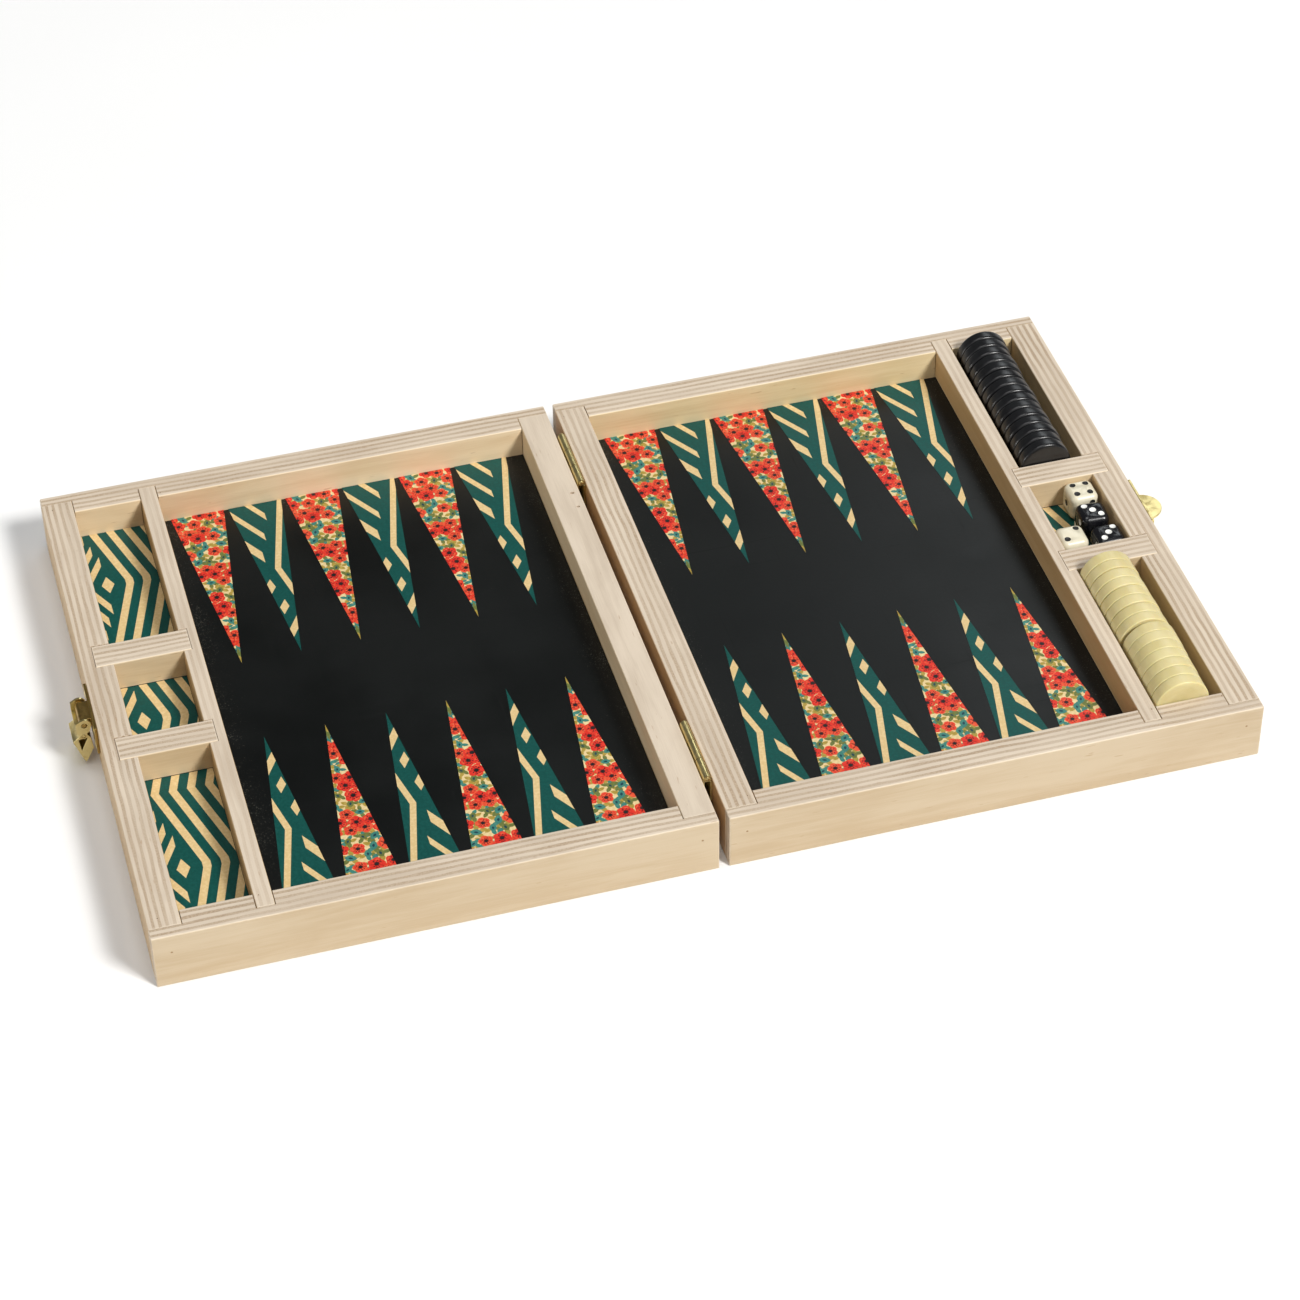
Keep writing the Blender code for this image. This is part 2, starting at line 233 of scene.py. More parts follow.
def black_laminate(name, low, high, seed):
    """The board's satin black sheet, rubbed by the checkers, with dust gathered along its walls."""
    sheet = Surface(name, seed)
    sheet.shader.inputs["Specular IOR Level"].default_value = SATIN_SPECULAR
    cloud = sheet.noise((1, 1, 1), 0.02, 3.0)
    near_wall = sheet.blend(sheet.edge_distance(low, high), 0.016, 0.002)
    specks = sheet.noise((1, 1, 1), 2.2, 2.0)
    drift = sheet.noise((1, 1, 1), 0.07, 2.0)
    limit = sheet.math("MULTIPLY_ADD", sheet.math("MULTIPLY", near_wall, drift), 0.24, specks)
    dust = sheet.blend(limit, 0.75, 0.83)
    rubbed = sheet.noise((1.0, 45.0, 1.0), 0.9, 2.0, 0.4)
    crossed = sheet.noise((38.0, 1.0, 1.0), 0.8, 2.0, 0.6)
    marks = sheet.blend(sheet.math("MAXIMUM", rubbed, crossed), 0.66, 0.78)
    black = sheet.mix(sheet.blend(cloud, 0.3, 0.7), srgb(3, 5, 4), srgb(8, 11, 10))
    dusty = sheet.mix(sheet.math("MULTIPLY", dust, 0.6), black, srgb(104, 104, 96))
    rough = sheet.blend(cloud, 0.3, 0.7, 0.32, 0.42)
    sheet.bump(sheet.noise((1, 1, 1), 0.6, 3.0), 0.00004, 0.5)
    return sheet.finished(dusty, sheet.math("MULTIPLY_ADD", marks, 0.14, rough))


def ink(name, colour, faded, seed):
    """A printed colour: solid, with the slight mottle of ink on wood under a satin sheet."""
    printed = Surface(name, seed)
    mottle = printed.noise((1, 1, 1), 0.9, 3.0)
    tone = printed.mix(printed.blend(mottle, 0.35, 0.75), colour, faded)
    printed.shader.inputs["Specular IOR Level"].default_value = SATIN_SPECULAR
    return printed.finished(tone, printed.blend(mottle, 0.3, 0.7, 0.36, 0.48))


def plastic(name, colour, shade, seed, rough, **sockets):
    """Moulded plastic with faint flow marks and handling scratches."""
    made = Surface(name, seed, **sockets)
    flow = made.noise((1, 3, 1), 0.12, 3.0, 0.6)
    scratches = made.blend(made.noise((14, 1, 2), 1.6, 2.0, 0.5), 0.66, 0.80)
    tone = made.mix(made.blend(flow, 0.3, 0.7), shade, colour)
    base = made.blend(flow, 0.3, 0.7, rough, rough + 0.08)
    made.bump(made.noise((1, 1, 1), 0.35, 2.0), 0.00002, 0.3)
    return made.finished(tone, made.math("MULTIPLY_ADD", scratches, 0.12, base))


def brass_metal(name, clean, dull, seed):
    """Pressed brass: bright, with rolling lines, tarnish in patches and small dents."""
    brass = Surface(name, seed, metallic=1.0)
    rolled = brass.noise((1, 40, 1), 2.4, 3.0)
    tarnish = brass.noise((1, 1, 1), 0.30, 4.0, 0.5)
    tone = brass.mix(brass.blend(tarnish, 0.50, 0.80), clean, dull)
    rough = brass.blend(tarnish, 0.35, 0.75, 0.24, 0.44)
    brass.bump(brass.math("ADD", rolled, brass.noise((1, 1, 1), 0.8, 2.0)), 0.00003, 0.35)
    return brass.finished(tone, brass.math("MULTIPLY_ADD", rolled, 0.12, rough))


def filler():
    """Brown wood filler over a brad."""
    putty = Surface("wood_filler", 2.0)
    mottle = putty.noise((1, 1, 1), 5.0, 3.0)
    tone = putty.mix(mottle, srgb(136, 106, 72), srgb(178, 146, 106))
    return putty.finished(tone, putty.blend(mottle, 0.3, 0.7, 0.6, 0.8))


TABLE_GREYS = 0.91, 0.94


def table_top():
    """The pale matt surface that the case stands on, very faintly cloudy."""
    table = Surface("pale_table", 1.0)
    cloud = table.noise((1, 1, 1), 0.004, 2.0)
    tone = table.mix(cloud, *((grey, grey, grey, 1.0) for grey in TABLE_GREYS))
    return table.finished(tone, table.blend(cloud, 0.3, 0.7, 0.6, 0.7))


# ---- Pieces ----

CLEAR = 0.001  # how far a turned cutter stands out of the surface it cuts


def new_object(name, data):
    made = bpy.data.objects.new(name, data)
    bpy.context.scene.collection.objects.link(made)
    return made


def plain_mesh(name, shape):
    """A mesh from a bmesh, which it frees."""
    mesh = bpy.data.meshes.new(name)
    shape.to_mesh(mesh)
    shape.free()
    return mesh


def add_piece(name, mesh, body, nodes=(), place=None):
    """A piece of the model, which rides on a CAD body and may stand for some of its nodes."""
    piece = new_object(name, mesh)
    if place is not None:
        piece.matrix_world = place
    bpy.context.view_layer.update()
    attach(piece, body)
    if nodes:
        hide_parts(*nodes)
    return piece


def mesh_from(name, shape, materials, smooth=35):
    """A mesh from a bmesh, with its materials, smooth up to an angle in degrees."""
    mesh = plain_mesh(name, shape)
    for material in materials:
        mesh.materials.append(material)
    mesh.shade_smooth()
    mesh.set_sharp_from_angle(angle=radians(smooth))
    return mesh


def body_of(node):
    return frame["nodes"][node]["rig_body"]


def cad_shape(node):
    """A CAD node's mesh with its flat faces whole again."""
    shape = bmesh.new()
    shape.from_mesh(frame["nodes"][node].data)
    bmesh.ops.remove_doubles(shape, verts=shape.verts, dist=1e-6)
    bmesh.ops.dissolve_limit(shape, angle_limit=radians(1.0), verts=shape.verts, edges=shape.edges)
    return shape


def round_edges(piece, width, segments=3, weighted=False):
    """Rounds a piece's sharp edges, or with weighted the edges that carry a bevel weight."""
    edge = piece.modifiers.new("Edges", "BEVEL")
    edge.width = width
    edge.segments = segments
    edge.limit_method = "WEIGHT" if weighted else "ANGLE"
    edge.angle_limit = radians(32)
    edge.harden_normals = True


def run_boolean(piece, helper_shape, operation, use_self=False):
    """Applies a piece's modifiers and then one exact Boolean with a bmesh, which it frees."""
    bpy.context.view_layer.update()
    mesh = plain_mesh("helper", helper_shape)
    helper = new_object("helper", mesh)
    change = piece.modifiers.new("Change", "BOOLEAN")
    change.operation = operation
    change.solver = "EXACT"
    change.use_self = use_self
    change.object = helper
    bpy.context.view_layer.update()
    graph = bpy.context.evaluated_depsgraph_get()
    result = bpy.data.meshes.new_from_object(piece.evaluated_get(graph))
    piece.modifiers.clear()
    piece.data = result
    if not result.polygons:
        raise RuntimeError(f"the Boolean on {piece.name} left nothing of it")
    bpy.data.objects.remove(helper)
    bpy.data.meshes.remove(mesh)


def subtract(piece, cutter_shape):
    """Cuts a bmesh from a piece. The cutter's faces keep their material index."""
    run_boolean(piece, cutter_shape, "DIFFERENCE")


def thicken(shape, faces, offset):
    """Gives flat faces thickness, with the first ones kept as one side."""
    swept = bmesh.ops.extrude_face_region(shape, geom=faces, use_keep_orig=True)["geom"]
    moved = [v for v in swept if isinstance(v, bmesh.types.BMVert)]
    bmesh.ops.translate(shape, verts=moved, vec=offset)


def add_lathe(shape, profile, place, sides):
    """Adds a turned solid. The profile is (radius, height) from axis to axis, up the local Z."""
    rings = []
    for radius, height in profile:
        if radius < 1e-7:
            rings.append([shape.verts.new(place @ Vector((0, 0, height)))])
            continue
        turns = (2 * pi * i / sides for i in range(sides))
        ring = (Vector((radius * cos(t), radius * sin(t), height)) for t in turns)
        rings.append([shape.verts.new(place @ point) for point in ring])
    for low, high in zip(rings, rings[1:]):
        for i in range(sides):
            j = (i + 1) % sides
            ends = ((low, i), (low, j), (high, j), (high, i))
            corners = dict.fromkeys(ring[k % len(ring)] for ring, k in ends)
            shape.faces.new(list(corners))


def bore(radius, depth):
    """A turned cutter's profile, for a round hole."""
    return [(0, -depth), (radius, -depth), (radius, CLEAR), (0, CLEAR)]


def facing(point, axis):
    """A placement with local Z along an axis."""
    turn = Vector(axis).to_track_quat("Z", "Y").to_matrix().to_4x4()
    return Matrix.Translation(point) @ turn


def arc(centre, radius, start, stop, steps):
    """Points on an arc, with angles in degrees."""
    turns = (radians(start + (stop - start) * i / steps) for i in range(steps + 1))
    return [(centre[0] + radius * cos(t), centre[1] + radius * sin(t)) for t in turns]


# ---- Wood ----

OUTER_EASE, JOINT_EASE = 0.0006, 0.00012
BRAD_R, BRAD_HEIGHT = 0.00045, 0.0166
BRAD_WELL, BRAD_SKIN = 0.0012, 0.00006  # how deep the well is, and how far back the filler lies
BRAD_FROM_ENDS = 0.0070, 0.0066  # from the rail's left and right ends
# The axis that a part's plies lie across: Y or Z for these, and X for the rest
STACK_AXIS = {part: 1 for part in ("front_rail", "back_rail", "front_divider", "back_divider")}
STACK_AXIS["floor_panel"] = 2
PLIES, RAIL_PLIES = {"partition": 5, "floor_panel": 7}, 9
PARTITION_STRIPES = 0.5  # the partitions' plies show half as strongly as the rails'
# Red, green and blue factors for the face veneer of some boards, as painted light and shade: the
# back rails painted lighter; the front rails, the right hinge rail, the partitions and the end rails
# painted darker
LIGHT_AND_SHADE_TINTS = {
    "front_rail": (0.83, 0.83, 0.86),
    "left_back_rail": (1.13, 1.14, 1.18),
    "right_back_rail": (1.10, 1.13, 1.06),
    "right_hinge_rail": (0.86, 0.72, 0.62),
    "partition": (0.72, 0.60, 0.44),
    "end_rail": (0.80, 0.72, 0.62),
}


def wood_boxes(tray):
    return {part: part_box(f"{tray}_{part}") for part in WOOD_PARTS}


def touches(point, box, slack=0.00035):
    low, high = box
    return all(a - slack <= p <= b + slack for p, a, b in zip(point, low, high))


def mark_edges(shape, part, boxes):
    """Weights for the rounding: full on open edges, fine where the part meets a neighbour."""
    weight = shape.edges.layers.float.new("bevel_weight_edge")
    others = [box for name, box in boxes.items() if name != part]
    for edge in shape.edges:
        if len(edge.link_faces) != 2 or not edge.is_convex:
            continue
        if edge.calc_face_angle() < radians(30):
            continue
        middle = (edge.verts[0].co + edge.verts[1].co) / 2
        joined = any(touches(middle, box) for box in others)
        edge[weight] = JOINT_EASE / OUTER_EASE if joined else 1.0


def brad_places(part, low, high):
    """Where the brads sit in a rail's outer face: (point, direction out)."""
    if part not in ("front_rail", "back_rail"):
        return []
    sign, y = (-1, low[1]) if part == "front_rail" else (1, high[1])
    spots = low[0] + BRAD_FROM_ENDS[0], high[0] - BRAD_FROM_ENDS[1]
    return [((x, y, BRAD_HEIGHT), (0, sign, 0)) for x in spots]


DENT_R, DENT_DEPTH = 0.00032, 0.0011
LONG_DENT, LONG_DENT_STRETCH = 1.5, 1.5  # a dent over this size is drawn out across the rail
# Small dark holes in the top edges: X and Y in millimetres, and size
DENTS = {
    "left_end_rail": (
        (-211.9, 121.0, 1.0),
        (-205.4, 33.6, 1.0),
        (-207.3, 33.7, 0.8),
        (-205.0, -20.9, 1.1),
        (-207.0, -20.8, 0.9),
        (-211.6, -119.8, 0.9),
    ),
    "left_back_rail": ((-167.6, 119.6, 1.0), (-170.9, 124.4, 0.8)),
    "left_partition": ((-174.0, -118.6, 1.0),),
    "left_hinge_rail": ((-5.1, 70.6, 2.1), (-5.0, 61.5, 1.7)),
    "right_hinge_rail": ((12.0, -119.8, 0.9), (9.0, -119.9, 0.8), (4.4, 120.2, 1.1)),
    "right_partition": (
        (174.0, -118.7, 1.1),
        (176.6, -121.5, 0.8),
        (180.3, 37.0, 0.8),
        (180.2, -24.6, 1.0),
    ),
    "right_front_rail": ((202.6, -119.4, 0.8),),
}


def cut_dents(piece, node, top):
    """Pits left by nails and chipped plies, in the top edge of a piece."""
    if node not in DENTS:
        return
    cutters = bmesh.new()
    for x, y, size in DENTS[node]:
        radius = DENT_R * size
        floor = [(0, -DENT_DEPTH), (0.7 * radius, -DENT_DEPTH)]
        pit = [*floor, (radius, 0), (radius, CLEAR), (0, CLEAR)]
        drawn = LONG_DENT_STRETCH if size > LONG_DENT else 1.0
        stretch = Matrix.Diagonal((drawn, 1.0, 1.0, 1.0))
        add_lathe(cutters, pit, facing((x * MM, y * MM, top), (0, 0, 1)) @ stretch, 14)
    subtract(piece, cutters)


def playing_field(tray, boxes):
    """The lowest and highest corners of the board between its four walls."""
    panel, (left, right) = boxes["floor_panel"], (boxes["partition"], boxes["hinge_rail"])
    if tray == "right":
        left, right = right, left
    low = Vector((left[1].x, boxes["front_rail"][1].y, panel[0].z))
    return low, Vector((right[0].x, boxes["back_rail"][0].y, panel[1].z))


def board_wood(node, part, low, high, seed):
    """The plywood, or for the left hinge rail the solid birch, that a wooden part is cut from."""
    stack = STACK_AXIS.get(part, 0)
    along = 1 if stack == 0 else 0
    plies = 1 if node == "left_hinge_rail" else PLIES.get(part, RAIL_PLIES)
    # The tint is painted light and shade: the back rails lighter; the front rails, right hinge rail,
    # partitions and end rails darker
    light_and_shade_tint = LIGHT_AND_SHADE_TINTS.get(node, LIGHT_AND_SHADE_TINTS.get(part, (1.0, 1.0, 1.0)))
    striped = PARTITION_STRIPES if part == "partition" else 1.0
    return birch(f"birch_{node}", low, high, stack, along, plies, seed, light_and_shade_tint, striped)


def make_wood(tray, putty):
    """Rails, dividers, partition and floor panel, with their edges eased and the brads filled."""
    boxes = wood_boxes(tray)
    field = playing_field(tray, boxes)
    black = black_laminate(f"black_laminate_{tray}", *field, 3.0 if tray == "left" else 5.0)
    for number, part in enumerate(WOOD_PARTS):
        node = f"{tray}_{part}"
        low, high = boxes[part]
        seed = number + (10 if tray == "right" else 0) + 1.0
        wood = board_wood(node, part, low, high, seed)
        shape = cad_shape(node)
        mark_edges(shape, part, boxes)
        if part == "floor_panel":
            for face in shape.faces:
                face.material_index = 1 if face.normal.z > 0.9 else 0
        mesh = mesh_from(node, shape, [wood, black] if part == "floor_panel" else [wood])
        piece = add_piece(f"{node}_wood", mesh, body_of(node), [node])
        round_edges(piece, OUTER_EASE, weighted=True)
        cut_dents(piece, node, high.z)
        fill_brads(piece, node, brad_places(part, low, high), putty)


def fill_brads(piece, node, brads, putty):
    """A small well over each brad, with filler a little below the wood."""
    if not brads:
        return
    cutters, plugs = bmesh.new(), bmesh.new()
    plug_r, plug_end = 0.98 * BRAD_R, BRAD_WELL - 0.0001
    plug = [(0, -plug_end), (plug_r, -plug_end), (plug_r, -BRAD_SKIN), (0, -BRAD_SKIN - 0.00008)]
    for point, way in brads:
        add_lathe(cutters, bore(BRAD_R, BRAD_WELL), facing(point, way), 20)
        add_lathe(plugs, plug, facing(point, way), 20)
    subtract(piece, cutters)
    mesh = mesh_from(f"{node}_brads", plugs, [putty])
    add_piece(f"{node}_brads", mesh, body_of(node))


# ---- Printed points and bay floors ----

FILM = 0.00008  # the printed sheet stands this far over the floor panel
# The artwork is in millimetres
POINT_BASE, POINT_HEIGHT, POINT_PITCH = 22.3, 95.2, 24.1
POINT_GAP, BAY_GAP = 0.1, 0.15  # from the sheets to the walls round them
INKS = {
    "cream": (srgb(216, 192, 138), srgb(230, 208, 158)),
    "red": (srgb(208, 42, 30), srgb(222, 60, 44)),
    "orange": (srgb(216, 74, 44), srgb(228, 96, 62)),
    "crimson": (srgb(126, 24, 20), srgb(150, 34, 28)),
    "black": (srgb(20, 20, 22), srgb(36, 34, 34)),
    "teal": (srgb(52, 118, 108), srgb(74, 136, 122)),
    "navy": (srgb(20, 58, 70), srgb(30, 70, 82)),
    "mustard": (srgb(158, 134, 54), srgb(182, 158, 80)),
    "olive": (srgb(96, 106, 52), srgb(116, 124, 66)),
    "green": (srgb(2, 70, 64), srgb(6, 80, 74)),
    "tan": (srgb(212, 184, 130), srgb(224, 198, 148)),
}
INK_NAMES = list(INKS)


def turned(points, centre, angle):
    c, s = cos(angle), sin(angle)
    return [(centre[0] + c * x - s * y, centre[1] + s * x + c * y) for x, y in points]


def anticlockwise(points):
    pairs = zip(points, points[1:] + points[:1])
    area = sum(a[0] * b[1] - b[0] * a[1] for a, b in pairs)
    return points if area > 0 else points[::-1]


def flat_art(outline, ground, shapes):
    """Overlapping polygons made into one flat layer of triangles, later ones on top.

    It returns the points and, for each triangle, its corners and its ink.
    """
    coords, faces, inks = [], [], []
    for points, colour in [(outline, ground), *shapes]:
        points = anticlockwise(points)
        faces.append(list(range(len(coords), len(coords) + len(points))))
        coords += points
        inks.append(INK_NAMES.index(colour))
    found = delaunay_2d_cdt([Vector(p) for p in coords], [], faces, 1, 1e-4)
    triangles = [(f, inks[max(own)]) for f, own in zip(found[2], found[5]) if 0 in own]
    return found[0], triangles


def film_mesh(name, art, inks):
    """A thin closed sheet whose top shows the artwork."""
    points, triangles = art
    shape = bmesh.new()
    verts = [shape.verts.new((p.x * MM, p.y * MM, 0.0)) for p in points]
    for corners, colour in triangles:
        face = shape.faces.new([verts[i] for i in corners])
        face.material_index = colour
    spare = [v for v in shape.verts if not v.link_faces]
    bmesh.ops.delete(shape, geom=spare, context="VERTS")
    thicken(shape, shape.faces[:], (0, 0, FILM))
    bmesh.ops.recalc_face_normals(shape, faces=shape.faces)
    return mesh_from(name, shape, inks)


def around(centre, far, angle):
    return centre[0] + far * cos(angle), centre[1] + far * sin(angle)


def lobed(rng, centre, radius, lobes, depth, steps, turn):
    """A closed line round a flower, with rounded lobes and a slightly uneven rim."""
    points = []
    for i in range(steps):
        angle = 2 * pi * i / steps
        reach = radius * (1 - depth + depth * abs(cos(lobes * angle / 2))) * rng.uniform(0.95, 1.05)
        points.append(around(centre, reach, turn + angle))
    return points


def leaf(centre, length, width, angle):
    half = [(-0.5, 0), (-0.28, 0.36), (0, 0.5), (0.28, 0.34)]
    other = [(-x, -y) for x, y in half]
    return turned([(length * x, width * y) for x, y in half + other], centre, angle)


def poppy(rng, centre, radius, shapes):
    """A five-lobed flower with creases between its petals, a dark eye and a ring of seeds."""
    turn = rng.uniform(0, 2 * pi)
    colour, blush = ("red", "orange") if rng.random() < 0.66 else ("orange", "red")
    shapes.append((lobed(rng, centre, radius, 5, 0.20, 20, turn), colour))
    for i in range(5):
        petal = turn + 2 * pi * i / 5
        if rng.random() < 0.55:
            spot = around(centre, 0.66 * radius, petal)
            fleck = leaf(spot, 0.62 * radius, 0.24 * radius, petal + pi / 2)
            shapes.append((fleck, blush))
        fold = petal + pi / 5
        crease = leaf(around(centre, 0.56 * radius, fold), 0.5 * radius, 0.09 * radius, fold)
        shapes.append((crease, "crimson"))
    shapes.append((lobed(rng, centre, 0.40 * radius, 7, 0.30, 14, turn), "crimson"))
    shapes.append((lobed(rng, centre, 0.27 * radius, 4, 0.15, 8, turn), "black"))
    for i in range(6):
        far = radius * rng.uniform(0.46, 0.54)
        spot = around(centre, far, turn + 2 * pi * (i + rng.random()) / 6)
        shapes.append((leaf(spot, 0.17 * radius, 0.17 * radius, 0.0), "black"))


def spray(rng, centre, size, shapes):
    """A teal bud with a dark eye among leaves."""
    turn = rng.uniform(0, 2 * pi)
    for i in range(5):
        angle = turn + 2 * pi * (i + rng.uniform(-0.2, 0.2)) / 5
        spot = around(centre, 0.80 * size, angle)
        blade = leaf(spot, 1.25 * size, 0.66 * size, angle + rng.uniform(-0.4, 0.4))
        shapes.append((blade, rng.choice(("mustard", "mustard", "olive", "teal"))))
    bud = leaf(centre, 1.55 * size, 1.05 * size, turn)
    shapes.append((bud, "teal" if rng.random() < 0.75 else "olive"))
    shapes.append((leaf(centre, 0.62 * size, 0.34 * size, turn), "navy"))


FLOWER_PITCH, FLOWER_STEP, FLOWER_JITTER = 5.7, 4.8, 0.8
DRIFT_LIMIT, DRIFT_SPRAYS, OTHER_SPRAYS = 0.45, 0.9, 0.14  # how likely a spray is in a drift of them
SPRAYS_ABOVE = 0.88  # this far up a point, there is room for sprays only


def floral_art():
    """A point strewn with poppies, teal buds and leaves: base along X, tip up the Y axis."""
    rng = Random(11)
    half = POINT_BASE / 2
    outline = [(-half, 0.0), (half, 0.0), (0.0, POINT_HEIGHT)]
    leaves, sprays, poppies = [], [], []
    for row in range(int(POINT_HEIGHT / FLOWER_STEP) + 1):
        v = 1.4 + row * FLOWER_STEP
        reach = half * (1 - v / POINT_HEIGHT) + 2.4
        for column in range(-3, 4):
            u = (column + 0.5 * (row % 2)) * FLOWER_PITCH
            if abs(u) > reach:
                continue
            centre = [place + rng.uniform(-FLOWER_JITTER, FLOWER_JITTER) for place in (u, v)]
            chance = DRIFT_SPRAYS if sin(v / 3.5 + u / 4.0) > DRIFT_LIMIT else OTHER_SPRAYS
            if rng.random() < chance or v > SPRAYS_ABOVE * POINT_HEIGHT:
                spray(rng, centre, rng.uniform(2.5, 3.2), sprays)
                continue
            radius = rng.uniform(3.0, 3.7)
            for _ in range(3):
                angle = rng.uniform(0, 2 * pi)
                blade = leaf(around(centre, 1.08 * radius, angle), rng.uniform(2.6, 3.4), 1.5, angle)
                leaves.append((blade, rng.choice(("teal", "mustard", "olive"))))
            poppy(rng, centre, radius, poppies)
    for v, length, colour in ((86.5, 8.0, "teal"), (89.5, 7.0, "olive"), (93.0, 5.0, "mustard")):
        sprays.append((leaf((0.25 * (v - 89.5) / 3.5, v), length, 1.5, pi / 2), colour))
    return flat_art(outline, "cream", leaves + sprays + poppies)


def stroke(points, width):
    """A stripe of even width along a line with mitred bends."""
    left, right = [], []
    ways = [(b[0] - a[0], b[1] - a[1]) for a, b in zip(points, points[1:])]
    ways = [(x / hypot(x, y), y / hypot(x, y)) for x, y in ways]
    for i, (x, y) in enumerate(points):
        before, after = ways[max(i - 1, 0)], ways[min(i, len(ways) - 1)]
        nx, ny = -(before[1] + after[1]), before[0] + after[0]
        size = hypot(nx, ny)
        nx, ny = nx / size, ny / size
        reach = width / 2 / (nx * -after[1] + ny * after[0])
        left.append((x + nx * reach, y + ny * reach))
        right.append((x - nx * reach, y - ny * reach))
    return left + right[::-1]


def bar(u_span, middle, slope, width):
    """A slanted bar with upright ends. Middle is where its centre line crosses u = 0."""
    rise = width / 2 * hypot(1.0, slope)
    first, last = u_span
    low = [(u, middle + slope * u - rise) for u in (first, last)]
    return low + [(u, middle + slope * u + rise) for u in (last, first)]


def lozenge(centre, across, along):
    """A small parallelogram from the half lengths of its two sides."""
    (u, v), (au, av), (bu, bv) = centre, across, along
    signs = ((-1, -1), (1, -1), (1, 1), (-1, 1))
    return [(u + i * au + j * bu, v + i * av + j * bv) for i, j in signs]


def banded_art():
    """A green point crossed by tan bars beside a bent stripe: base along X, tip up the Y axis."""
    half, wide, slope = POINT_BASE / 2, 2.45, 1.62
    outline = [(-half, 0.0), (half, 0.0), (0.0, POINT_HEIGHT)]
    bands = [stroke([(-11.3, -3.0), (-1.2, 42.8), (-5.5, 62.0)], 2.5)]
    for first, middle, width in ((-2.8, 4.8, wide), (0.0, 22.0, wide), (3.0, 39.4, 3.6)):
        bands.append(bar((first, 13.0), middle, -slope, width))
    bands.append(lozenge((4.2, 53.8), (1.5, 2.4), (-0.7, 2.6)))
    bands.append(lozenge((1.0, 67.0), (1.4, 2.2), (-0.5, 2.3)))
    bands.append(bar((-4.0, 4.0), 81.0, 1.7, 3.2))
    return flat_art(outline, "green", [(band, "tan") for band in bands])


BAY_REPEAT, BAY_PITCH, BAY_BAND, BAY_FLAT = 84.0, 7.0, 3.2, 1.5
BAY_SLOPE = 0.30  # how far a chevron falls back in X for each Y
BAR_SLOPE, BAR_PITCH, BAR_WIDTH = 1.9, 6.3, 2.8
EYE_HALF, EYE_TIP = 2.6, 5.2
BAY_EYE = {"left": -7.0, "right": -16.0}  # from the middle of the bay


def chevron(ring):
    """A tan zigzag from one valley through its point to the next valley."""
    line = []
    for y in (-BAY_REPEAT / 2, -BAY_FLAT, BAY_FLAT, BAY_REPEAT / 2):
        line.append((BAY_PITCH * ring + 0.2 - BAY_SLOPE * (abs(y) - BAY_FLAT), y))
    return line + [(x + BAY_BAND, y) for x, y in reversed(line)]


def bay_bars(number):
    """The two slanted bars of one rank, which stop a green band short of the first chevron."""
    far = EYE_HALF + BAR_PITCH * number
    end = (BAY_PITCH - BAY_BAND + far) / (1 / BAR_SLOPE + BAY_SLOPE)
    upper = bar((-far, end / BAR_SLOPE - far), BAR_SLOPE * far, BAR_SLOPE, BAR_WIDTH)
    return [upper, [(x, -y) for x, y in upper]]


def bay_art(x_span, y_span, eye_x):
    """Part of a green sheet with tan chevrons and bars round a row of diamonds, cut to one bay."""
    (x_low, x_high), (y_low, y_high) = x_span, y_span
    outline = [(x_low, y_low), (x_high, y_low), (x_high, y_high), (x_low, y_high)]
    motif = [[(EYE_HALF, 0.0), (0.0, EYE_TIP), (-EYE_HALF, 0.0), (0.0, -EYE_TIP)]]
    motif += [chevron(ring) for ring in range(1, 8)]
    motif += [one for number in range(1, 5) for one in bay_bars(number)]
    bands = []
    for eye_y in (-BAY_REPEAT, 0.0, BAY_REPEAT):
        bands += [([(eye_x + x, eye_y + y) for x, y in band], "tan") for band in motif]
    return flat_art(outline, "green", bands)


# Middle of each tray's six points from the middle of its playing field, in millimetres
PRINT_SHIFT = {"left": -1.8, "right": 0.6}


def make_print(tray):
    """Twelve points on the board, floral and banded by turns."""
    low, high = playing_field(tray, wood_boxes(tray))
    middle = (low.x + high.x) / 2 + PRINT_SHIFT[tray] * MM
    body = body_of(f"{tray}_floor_panel")
    for number in range(6):
        x = middle + (number - 2.5) * POINT_PITCH * MM
        for row, kinds in (("back", ("floral", "banded")), ("front", ("banded", "floral"))):
            sign = 1 if row == "back" else -1
            turn = Matrix.Rotation(pi if row == "back" else 0.0, 4, "Z")
            place = Matrix.Translation((x, sign * (high.y - POINT_GAP * MM), high.z)) @ turn
            name = f"{tray}_{row}_point_{number + 1}"
            add_piece(name, ART[kinds[number % 2]], body, place=place)


def make_bay_prints(tray, inks):
    """The green sheet on the floor of each bay, on one repeat that runs under the dividers."""
    boxes = wood_boxes(tray)
    floor = boxes["floor_panel"][1].z
    end_rail, partition = boxes["end_rail"], boxes["partition"]
    walls = (end_rail[1].x, partition[0].x) if tray == "left" else (partition[1].x, end_rail[0].x)
    half = (walls[1] - walls[0]) / 2 / MM - BAY_GAP
    rows = [boxes[part] for part in ("front_rail", "front_divider", "back_divider", "back_rail")]
    for bay, before, after in zip(("front", "middle", "back"), rows, rows[1:]):
        name = f"{tray}_{bay}_bay_sheet"
        y_low, y_high = before[1].y, after[0].y
        art = bay_art((-half, half), (y_low / MM + BAY_GAP, y_high / MM - BAY_GAP), BAY_EYE[tray])
        place = Matrix.Translation((sum(walls) / 2, 0.0, floor))
        body = body_of(f"{tray}_floor_panel")
        add_piece(name, film_mesh(name, art, inks), body, place=place)


# ---- Hinges, latch and catch ----

